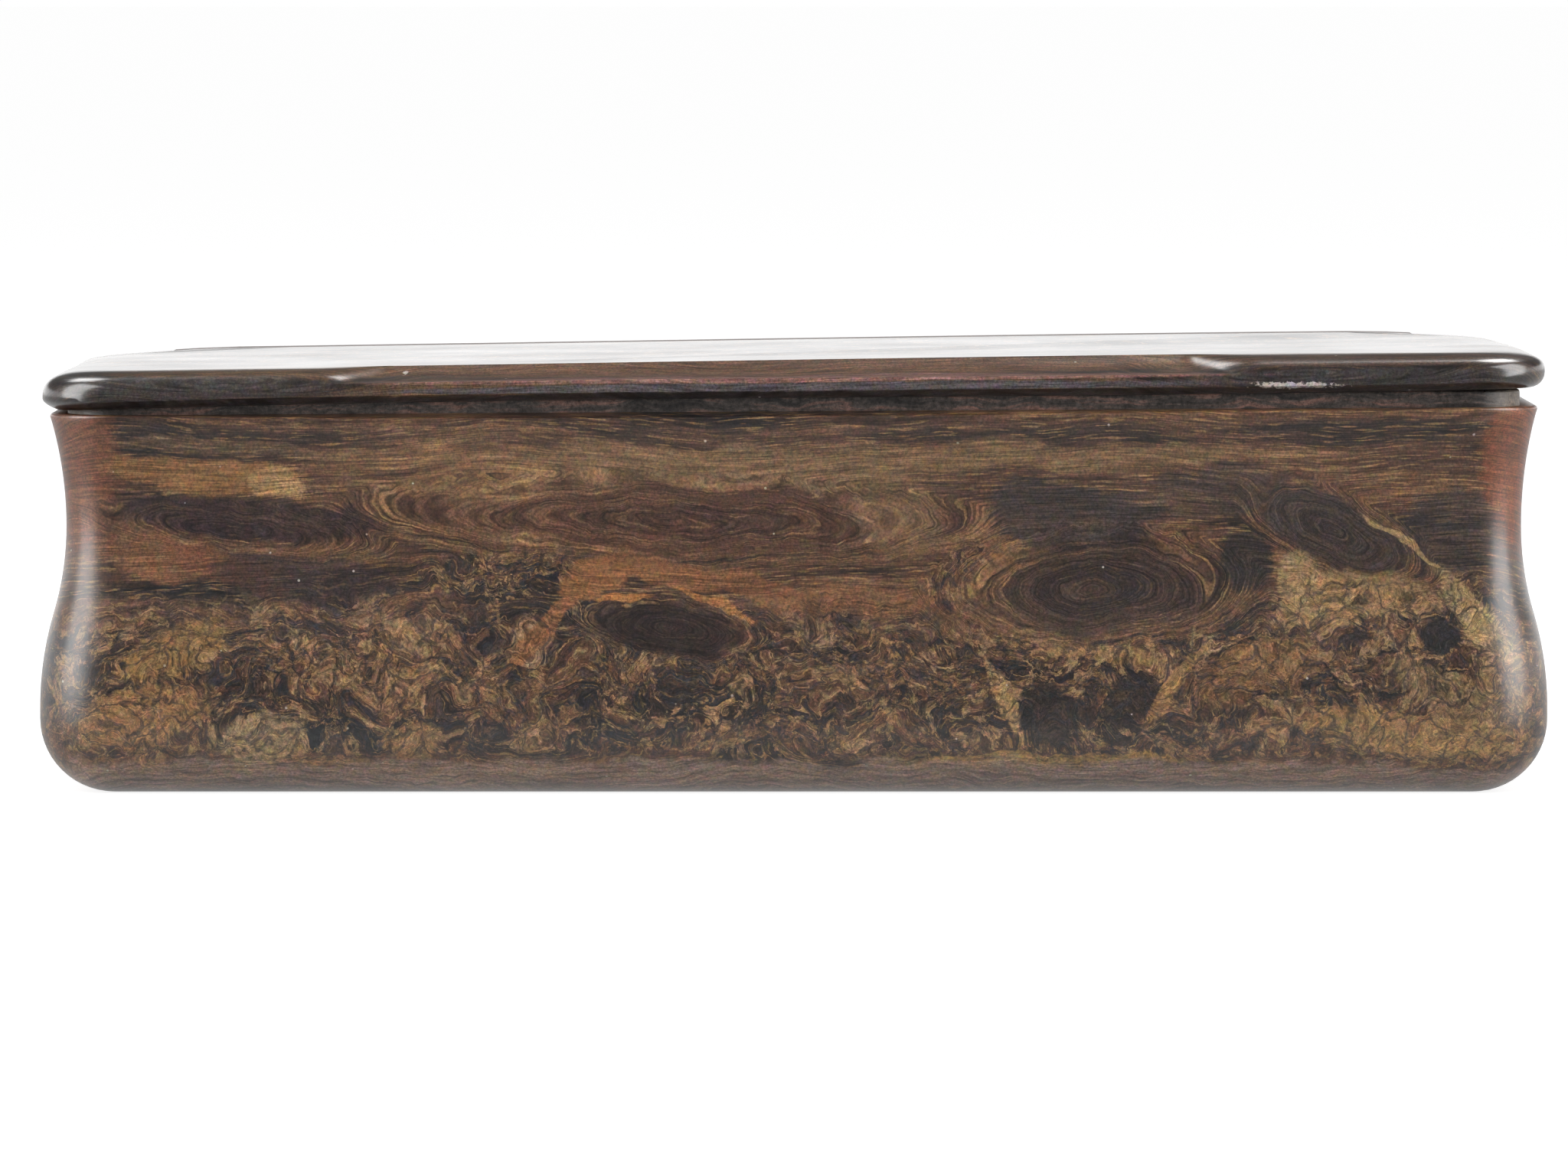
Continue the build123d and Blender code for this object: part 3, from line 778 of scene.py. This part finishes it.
def studio_floor():
    """White paper: white to the camera, shaded by the box, and dim in reflections far in front."""
    material, tree, surface = new_material("white_paper_floor")
    rays = put(tree, "LightPath").node.outputs
    _, forward, _ = put(tree, "SeparateXYZ", {0: place_in_mm(tree)}).node.outputs
    close = soft_ramp(tree, forward, -80.0, -38.0, 0.12, 0.55)
    shade = laid_over(tree, rays["Is Diffuse Ray"], linear("#a6a6a6"), linear("#e0e0e0"))
    shade = laid_over(tree, rays["Is Glossy Ray"], shade, linear("#5a5a5a"))
    seen = put(tree, "Math", {0: rays["Is Camera Ray"], 1: rays["Is Transmission Ray"]},
               operation="MAXIMUM")
    paper = put(tree, "BsdfDiffuse", {"Color": shade})
    mirrored = scaled(tree, rays["Is Glossy Ray"], close)
    glow_strength = scaled(tree, seen, 0.85, mirrored)
    glow = put(tree, "Emission", {"Color": (1, 1, 1, 1), "Strength": glow_strength})
    both = put(tree, "AddShader", {0: paper, 1: glow})
    tree.links.new(both, surface)
    return material


def studio_world():
    """Pale studio all round: white to the camera, and in reflections white behind and dim in front."""
    world = bpy.data.worlds.new("studio_world")
    world.use_nodes = True
    tree = world.node_tree
    tree.nodes.clear()
    output = tree.nodes.new("ShaderNodeOutputWorld")
    rays = put(tree, "LightPath").node.outputs
    toward = put(tree, "TexCoord").node.outputs["Generated"]
    _, behind, upward = put(tree, "SeparateXYZ", {0: toward}).node.outputs
    around = soft_ramp(tree, behind, -0.80, -0.30)
    low = soft_ramp(tree, upward, 0.26, 0.16)
    walls = scaled(tree, around, low)
    mirrored = ramp(tree, walls, 0.0, 1.0, 0.12, 1.55)
    level = put(tree, "Mix", {0: rays["Is Glossy Ray"], 2: 0.36, 3: mirrored}, data_type="FLOAT")
    shown = put(tree, "Math", {0: rays["Is Camera Ray"], 1: rays["Is Transmission Ray"]},
                operation="MAXIMUM")
    strength = put(tree, "Mix", {0: shown, 2: level, 3: 1.0}, data_type="FLOAT")
    background = put(tree, "Background", {"Color": (1, 1, 1, 1), "Strength": strength})
    tree.links.new(background, output.inputs["Surface"])
    return world


def body_section(sizes):
    """Outline of the body's wall in (x, z), from the flat of the foot up to the softened rim."""
    half = sizes.width / 2
    foot = sizes.foot_radius
    bulge_z = foot + sizes.side_flat
    rise = sizes.waist_height - bulge_z
    both_radii = (rise ** 2 + sizes.waist_inset ** 2) / (2 * sizes.waist_inset)
    waist_radius = both_radii - sizes.bulge_radius
    turn = math.degrees(math.asin(rise / both_radii))
    flare = sizes.waist_inset - sizes.rim_inset
    flare_rise = sizes.height - sizes.waist_height
    flare_radius = (flare_rise ** 2 + flare ** 2) / (2 * flare)
    flare_turn = math.degrees(math.asin((flare_rise - RIM_SOFTENING) / flare_radius))
    waist_x = half - sizes.waist_inset
    rim_x = half - sizes.rim_inset - 1.25 * RIM_SOFTENING
    points = arc((half - foot, foot), foot, -90, 0, 14)
    points += arc((half - sizes.bulge_radius, bulge_z), sizes.bulge_radius, 0, turn, 14)
    points += arc((waist_x + waist_radius, sizes.waist_height), waist_radius, 180 + turn, 180, 9)[1:]
    points += arc((waist_x + flare_radius, sizes.waist_height), flare_radius, 180, 180 - flare_turn, 14)[1:]
    points += arc((rim_x, sizes.height - RIM_SOFTENING), RIM_SOFTENING, 0, 90, 4)
    return points


def nose_section(sizes, half_width):
    """Outline of the lid's edge in (x, z) over its underside, from under the nose round to the flat top."""
    flat_end = half_width - sizes.nose_width - 0.35 * MM
    nose_steps, bevel_steps = 34, 6
    runs = [sizes.nose_width * (1 - math.sin(math.pi / 2 * k / nose_steps) ** (2 / sizes.nose_fullness))
            for k in range(nose_steps, -1, -1)]
    for crease in scoop_creases(sizes):
        runs[min(range(len(runs)), key=lambda k: abs(runs[k] - crease))] = crease
    runs = np.array(sorted(runs))
    shares = [math.sin(math.pi / 2 * k / bevel_steps) for k in range(bevel_steps)]
    points = [(flat_end, 0.0)]
    points += [(half_width - sizes.nose_undercut * (1 - share), sizes.nose_underside * share)
               for share in shares]
    points += [(half_width - run, height) for run, height in zip(runs, nose_height(sizes, runs))]
    points.append((flat_end, sizes.thickness))
    return points


def smooth(values, low, high):
    """Smooth step of an array from 0 at low to 1 at high."""
    share = np.clip((values - low) / (high - low), 0, 1)
    return share * share * (3 - 2 * share)


def wave(points, x):
    """Smooth curve near the given points, in metres, at places along the front."""
    along, height = zip(*points)
    return np.polyval(np.polyfit(along, height, 3), x / MM) * MM


def gouge_level(sizes):
    """Height of the gouge's axis over the underside."""
    return sizes.nose_underside + sizes.scoop_ridge + sizes.gouge_radius


def scoop_creases(sizes):
    """Distances from the lid's front at which the gouge meets the nose and the flat top."""
    runs = np.linspace(0, sizes.nose_width, 4001)
    nose = nose_height(sizes, runs)
    floor = gouge_level(sizes) - np.sqrt(sizes.gouge_radius ** 2 - runs ** 2)
    inside = runs[floor < nose]
    return [inside[0], inside[-1]]


def nose_height(sizes, runs):
    """Height of the nose's surface over the underside at distances from the edge."""
    share = np.clip((sizes.nose_width - runs) / sizes.nose_width, 0, 1)
    fullness = sizes.nose_fullness
    rise = sizes.thickness - sizes.nose_underside
    return sizes.nose_underside + rise * (1 - share ** fullness) ** (1 / fullness)


def cut_scoop(places, sizes, half_y):
    """Push the front of the nose back to the gouge's surface, less and less beyond the scoop's ends."""
    x, y, z = places.T
    run = y + half_y
    past_end = np.abs(x - sizes.scoop_centre) - sizes.scoop_length / 2
    beyond = np.clip(past_end / sizes.scoop_shoulder, 0, 1)
    depth = np.clip(gouge_level(sizes) - z, 0, sizes.gouge_radius)
    gouged = np.sqrt(sizes.gouge_radius ** 2 - depth ** 2)
    cut = (gouged > run) & (run < sizes.nose_width) & (z > sizes.nose_underside + sizes.scoop_ridge)
    y += np.where(cut, (gouged - run) * (1 - beyond) ** 1.5, 0)


def round_ends(places, sizes, half_x, half_y):
    """Round the lid's edge at both ends, where its arris is worn away and stands higher."""
    x, y, z = places.T
    radius = sizes.corner_radius
    past_x = np.maximum(np.abs(x) - half_x + radius, 0)
    past_y = np.maximum(np.abs(y) - half_y + radius, 0)
    from_centre = np.hypot(past_x, past_y)
    inward = np.clip(radius - from_centre, 0, sizes.nose_undercut)
    worn = smooth(np.abs(x), half_x - END_STRETCH[0], half_x - END_STRETCH[1])
    worn = worn * np.where(x > 0, 1.0, LEFT_END_SHARE)
    arris = sizes.nose_underside + END_LIFT * worn
    share = 1 - inward / sizes.nose_undercut
    straight = arris * share
    rounded = arris * (1 - np.sqrt(1 - share ** 2))
    under = straight + (rounded - straight) * worn
    squeeze = (sizes.thickness - arris) / (sizes.thickness - sizes.nose_underside)
    over = arris + (z - sizes.nose_underside) * squeeze
    below = z < sizes.nose_underside + 0.1 * SAME_PLACE
    z[:] = np.where(from_centre > 0, np.where(below, np.minimum(under, over), over), z)


def chip_arris(places, sizes, half_y):
    """Break a ragged chip out of the front arris, its teeth made of waves of a few per mm."""
    x, y, z = places.T
    along, up = x / MM, z / MM
    teeth = 0.5 + 0.5 * np.sin(along * 9.1 + 2 * np.sin(along * 3.7)) * np.cos(up * 11.0 + along * 2.3)
    off_x, off_z = (x - CHIP_MIDDLE[0]) / CHIP_SIZE[0], (z - CHIP_MIDDLE[1]) / CHIP_SIZE[1]
    broken = np.exp(-off_x ** 4 - off_z ** 2) * (y + half_y < CHIP_REACH) * teeth
    y += broken * CHIP_DEPTH
    z[:] -= broken * CHIP_DROP * (z > sizes.nose_underside)


def tilt_lid(places, middle_y):
    """Bring the lid from the middle of the floor to its place, and lean it as the hinge leans."""
    x, y, z = places.T
    y += middle_y
    turned_x = x * math.cos(LID_ROLL) - z * math.sin(LID_ROLL)
    z[:] = x * math.sin(LID_ROLL) + z * math.cos(LID_ROLL) + LID_LEVEL
    x[:] = turned_x


def warp_lid(piece, sizes, straight_below):
    """Move a piece of the lid as the old lid has warped: its arris, and its top over the straight level."""
    places = corners_of(piece)
    x, y, z = places.T
    level = z - LID_LEVEL - x * math.tan(LID_ROLL)
    up = np.clip((level - straight_below) / (sizes.thickness - straight_below), 0, 1)
    arris = (1 - smooth(y, *ARRIS_WAVE_FADE)) * wave(ARRIS_WAVE, x)
    worn_corner = smooth(np.abs(x), *CORNER_WEAR_SIDE) * smooth(y, *CORNER_WEAR_BACK)
    top = wave(LID_TOP_WAVE, x) - sizes.corner_wear * worn_corner
    z += sizes.warp * ((1 - up) * arris + up * top)
    move_to(piece, places)


def close_shell(piece):
    """Cap both open loops of a swept shell, turn its faces outwards and leave edit mode."""
    bpy.ops.mesh.select_all(action="DESELECT")
    bpy.ops.mesh.select_non_manifold()
    bpy.ops.mesh.edge_face_add()
    bpy.ops.mesh.select_all(action="SELECT")
    bpy.ops.mesh.normals_make_consistent(inside=False)
    bpy.ops.object.mode_set(mode="OBJECT")


def divide_cap(piece, size):
    """Slice the flat upper cap into a grid, so that it can be warped."""
    only(piece)
    low, high = corners_of(piece).min(axis=0), corners_of(piece).max(axis=0)
    for face in piece.data.polygons:
        face.select = len(face.vertices) > 100 and face.normal.z > 0.9
    bpy.ops.object.mode_set(mode="EDIT")
    bpy.ops.mesh.select_mode(type="FACE")
    for axis in (0, 1):
        normal = [float(k == axis) for k in range(3)]
        for level in np.arange(low[axis] + size, high[axis], size):
            point = [level * n for n in normal]
            bpy.ops.mesh.bisect(plane_co=point, plane_no=normal)
    bpy.ops.mesh.select_mode(type="VERT")
    bpy.ops.object.mode_set(mode="OBJECT")


def finish_piece(piece, node, body, material):
    """Shade a finished piece, give it its material, hang it on its body, and hide the imported part it
    replaces.
    """
    only(piece)
    bpy.ops.object.shade_smooth_by_angle(angle=math.radians(30))
    piece.data.materials.clear()
    piece.data.materials.append(material)
    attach(piece, body)
    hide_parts(node)


class SNUFFBOX_OT_body(bpy.types.Operator):
    """Carve the burr wood body"""

    bl_idname = "snuffbox.body"
    bl_label = "Burr Wood Body"

    def execute(self, context):
        sizes = context.scene.snuffbox_body
        half_x, half_y = sizes.width / 2, sizes.depth / 2
        side_start = sizes.corner_radius - half_y
        piece = start_chain("burr_body", [(x, side_start, z) for x, z in body_section(sizes)])
        sweep_round(half_x, half_y, sizes.corner_radius, 0.7 * MM, 16)
        close_shell(piece)

        places = corners_of(piece)
        x, y, z = places.T
        near_rim = smooth(z, RIM_WAVE_START, sizes.height) * (1 - smooth(y, *RIM_WAVE_FADE))
        z += sizes.rim_wave * near_rim * wave(RIM_WAVE, x)
        move_to(piece, places)

        well_x = half_x - sizes.waist_inset - sizes.wall
        well_y = half_y - sizes.waist_inset - sizes.wall
        lip_x = half_x - sizes.rim_inset - sizes.ledge
        lip_y = half_y - sizes.rim_inset - sizes.ledge
        lip_radius = sizes.corner_radius - sizes.rim_inset - sizes.ledge
        mouth_x, mouth_y = well_x - sizes.lining, well_y - sizes.lining
        shelf = sizes.height - sizes.rebate
        top = sizes.height + sizes.wall
        well = block((-well_x, -well_y, sizes.base), (well_x, well_y, top))
        rebate = block((-lip_x, -lip_y, shelf), (lip_x, mouth_y, top + MM), lip_radius, front_only=True)
        rail_notch = block((-mouth_x, 0, shelf), (mouth_x, half_y + MM, top + 2 * MM))
        combine(well, rebate, "UNION")
        combine(well, rail_notch, "UNION")
        combine(piece, well, "DIFFERENCE")
        finish_piece(piece, "body_block", "box", body_burr())
        return {"FINISHED"}


class SNUFFBOX_OT_lid(bpy.types.Operator):
    """Carve the lid slab with its thumb scoop"""

    bl_idname = "snuffbox.lid"
    bl_label = "Lid Slab"

    def execute(self, context):
        sizes = context.scene.snuffbox_lid
        body = context.scene.snuffbox_body
        half_x = body.width / 2 - body.rim_inset + LID_OVERHANG
        half_y = (LID_HIGH.y - LID_LOW.y) / 2
        middle_y = (LID_LOW.y + LID_HIGH.y) / 2
        side_start = sizes.corner_radius - half_y
        piece = start_chain("lid", [(x, side_start, z) for x, z in nose_section(sizes, half_x)])
        sweep_round(half_x, half_y, sizes.corner_radius, 0.5 * MM, 18)
        close_shell(piece)
        divide_cap(piece, 2.5 * MM)
        places = corners_of(piece)
        cut_scoop(places, sizes, half_y)
        round_ends(places, sizes, half_x, half_y)
        chip_arris(places, sizes, half_y)
        move_to(piece, places)

        lip_x = body.width / 2 - body.rim_inset - body.ledge + POCKET_CLEARANCE
        lip_y = body.depth / 2 - body.rim_inset - body.ledge + POCKET_CLEARANCE
        mouth_y = body.depth / 2 - body.waist_inset - body.wall - body.lining + POCKET_CLEARANCE
        pocket_radius = body.corner_radius - body.rim_inset - body.ledge + POCKET_CLEARANCE
        pocket = block((-lip_x, -lip_y - middle_y, -MM), (lip_x, mouth_y - middle_y, sizes.pocket),
                       pocket_radius, front_only=True)
        rail_low, rail_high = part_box("lid_hinge_rail")
        rail_half = (rail_high.x - rail_low.x) / 2 / math.cos(LID_ROLL) - SAME_PLACE
        rail_slot = block((-rail_half, RAIL_FRONT - middle_y, -2 * MM), (rail_half, half_y + MM, 4 * MM))
        combine(pocket, rail_slot, "UNION")
        combine(piece, pocket, "DIFFERENCE")

        places = corners_of(piece)
        tilt_lid(places, middle_y)
        move_to(piece, places)
        warp_lid(piece, sizes, sizes.pocket)
        finish_piece(piece, "lid_slab", "lid", lid_burr())
        return {"FINISHED"}


class SNUFFBOX_OT_rail(bpy.types.Operator):
    """Fit the lid's hinge rail to the warped lid"""

    bl_idname = "snuffbox.rail"
    bl_label = "Lid Hinge Rail"

    def execute(self, context):
        only(frame["nodes"]["lid_hinge_rail"])
        bpy.ops.object.duplicate()
        piece = context.object
        piece.name = "fitted_lid_rail"
        only(piece)
        bpy.ops.object.parent_clear(type="CLEAR_KEEP_TRANSFORM")
        bpy.ops.object.mode_set(mode="EDIT")
        bpy.ops.mesh.select_all(action="SELECT")
        bpy.ops.mesh.remove_doubles(threshold=0.1 * SAME_PLACE)
        for level in np.arange(-RAIL_SLICES, RAIL_SLICES + 1) * RAIL_SLICE:
            bpy.ops.mesh.select_all(action="SELECT")
            bpy.ops.mesh.bisect(plane_co=(level, 0, 0), plane_no=(1, 0, 0))
        bpy.ops.object.mode_set(mode="OBJECT")
        warp_lid(piece, context.scene.snuffbox_lid, RAIL_ROOF)
        finish_piece(piece, "lid_hinge_rail", "lid", straight_wood())
        return {"FINISHED"}


class SNUFFBOX_OT_fittings(bpy.types.Operator):
    """Finish the horn, the hinge rails and the pin"""

    bl_idname = "snuffbox.fittings"
    bl_label = "Horn, Rails and Pin"

    def execute(self, context):
        horn, lip_horn, rail_wood, brass = dark_horn(), lip_horn_material(), straight_wood(), pin_brass()
        finishes = {
            "lining_floor": horn, "lining_front": horn, "lining_back": horn, "lining_left": horn,
            "lining_right": horn, "lid_lining": horn, "lip_front": lip_horn, "lip_left": lip_horn,
            "lip_right": lip_horn, "body_hinge_rail": rail_wood, "hinge_plugs": rail_wood,
            "hinge_pin": brass,
        }
        for node, material in finishes.items():
            part = frame["nodes"][node]
            part.data.materials.clear()
            part.data.materials.append(material)
        return {"FINISHED"}


class SNUFFBOX_OT_studio(bpy.types.Operator):
    """Set up the camera, the lights and the floor"""

    bl_idname = "snuffbox.studio"
    bl_label = "Studio"

    def execute(self, context):
        scene = context.scene
        studio = scene.snuffbox_studio
        front = -scene.snuffbox_body.depth / 2
        drop = studio.camera_height - studio.aim_height
        bpy.ops.object.camera_add(
            location=(studio.aim_side, front - studio.camera_distance, studio.camera_height),
            rotation=(math.pi / 2 - math.atan2(drop, studio.camera_distance), 0, 0))
        camera = context.object
        camera.name = "photo_camera"
        camera.data.sensor_width = 36.0
        sight = math.hypot(drop, studio.camera_distance)
        camera.data.lens = camera.data.sensor_width * sight / studio.frame_width
        camera.data.clip_start = 0.01
        camera.data.dof.use_dof = False
        scene.camera = camera
        scene.view_settings.view_transform = "Standard"

        bpy.ops.mesh.primitive_plane_add(size=FLOOR_SIZE, location=(0, 0, FLOOR_LEVEL))
        floor = context.object
        floor.name = "studio_floor"
        floor.data.materials.append(studio_floor())

        for name, (place, size, setting, share) in LAMPS.items():
            bpy.ops.object.light_add(type="AREA", location=place)
            lamp = context.object
            lamp.name = name
            lamp.data.shape = "RECTANGLE"
            lamp.data.size, lamp.data.size_y = size
            lamp.data.energy = share * getattr(studio, setting)
            lamp.visible_glossy = name.endswith("strip")
            lamp.visible_diffuse = name.endswith("fill")
            aim = LAMP_TARGET - lamp.location
            lamp.rotation_euler = aim.to_track_quat("-Z", "Y").to_euler()
        scene.world = studio_world()
        return {"FINISHED"}


class SNUFFBOX_PT_panel(bpy.types.Panel):
    """Sizes and buttons for the snuff box"""

    bl_label = "Snuff Box"
    bl_idname = "SNUFFBOX_PT_panel"
    bl_space_type = "VIEW_3D"
    bl_region_type = "UI"
    bl_category = "Snuff Box"

    def draw(self, context):
        scene = context.scene
        groups = (
            ("snuffbox.body", scene.snuffbox_body),
            ("snuffbox.lid", scene.snuffbox_lid),
            ("snuffbox.rail", None),
            ("snuffbox.fittings", scene.snuffbox_colours),
            ("snuffbox.studio", scene.snuffbox_studio),
        )
        for operator, settings in groups:
            box = self.layout.box()
            for name in getattr(settings, "__annotations__", ()):
                box.prop(settings, name)
            box.operator(operator)


CLASSES = [
    BodySizes, LidSizes, FinishColours, StudioSettings, SNUFFBOX_OT_body, SNUFFBOX_OT_lid,
    SNUFFBOX_OT_rail, SNUFFBOX_OT_fittings, SNUFFBOX_OT_studio, SNUFFBOX_PT_panel,
]
SETTINGS = {
    "snuffbox_body": BodySizes,
    "snuffbox_lid": LidSizes,
    "snuffbox_colours": FinishColours,
    "snuffbox_studio": StudioSettings,
}


def register():
    """Add the classes and the scene's settings."""
    for cls in CLASSES:
        bpy.utils.register_class(cls)
    for name, group in SETTINGS.items():
        setattr(bpy.types.Scene, name, bpy.props.PointerProperty(type=group))


def unregister():
    """Take the classes and the scene's settings away."""
    for name in SETTINGS:
        delattr(bpy.types.Scene, name)
    for cls in reversed(CLASSES):
        bpy.utils.unregister_class(cls)


def main():
    """Build everything in order."""
    register()
    bpy.ops.snuffbox.studio()
    bpy.ops.snuffbox.body()
    bpy.ops.snuffbox.lid()
    bpy.ops.snuffbox.rail()
    bpy.ops.snuffbox.fittings()


if __name__ == "__main__":
    main()
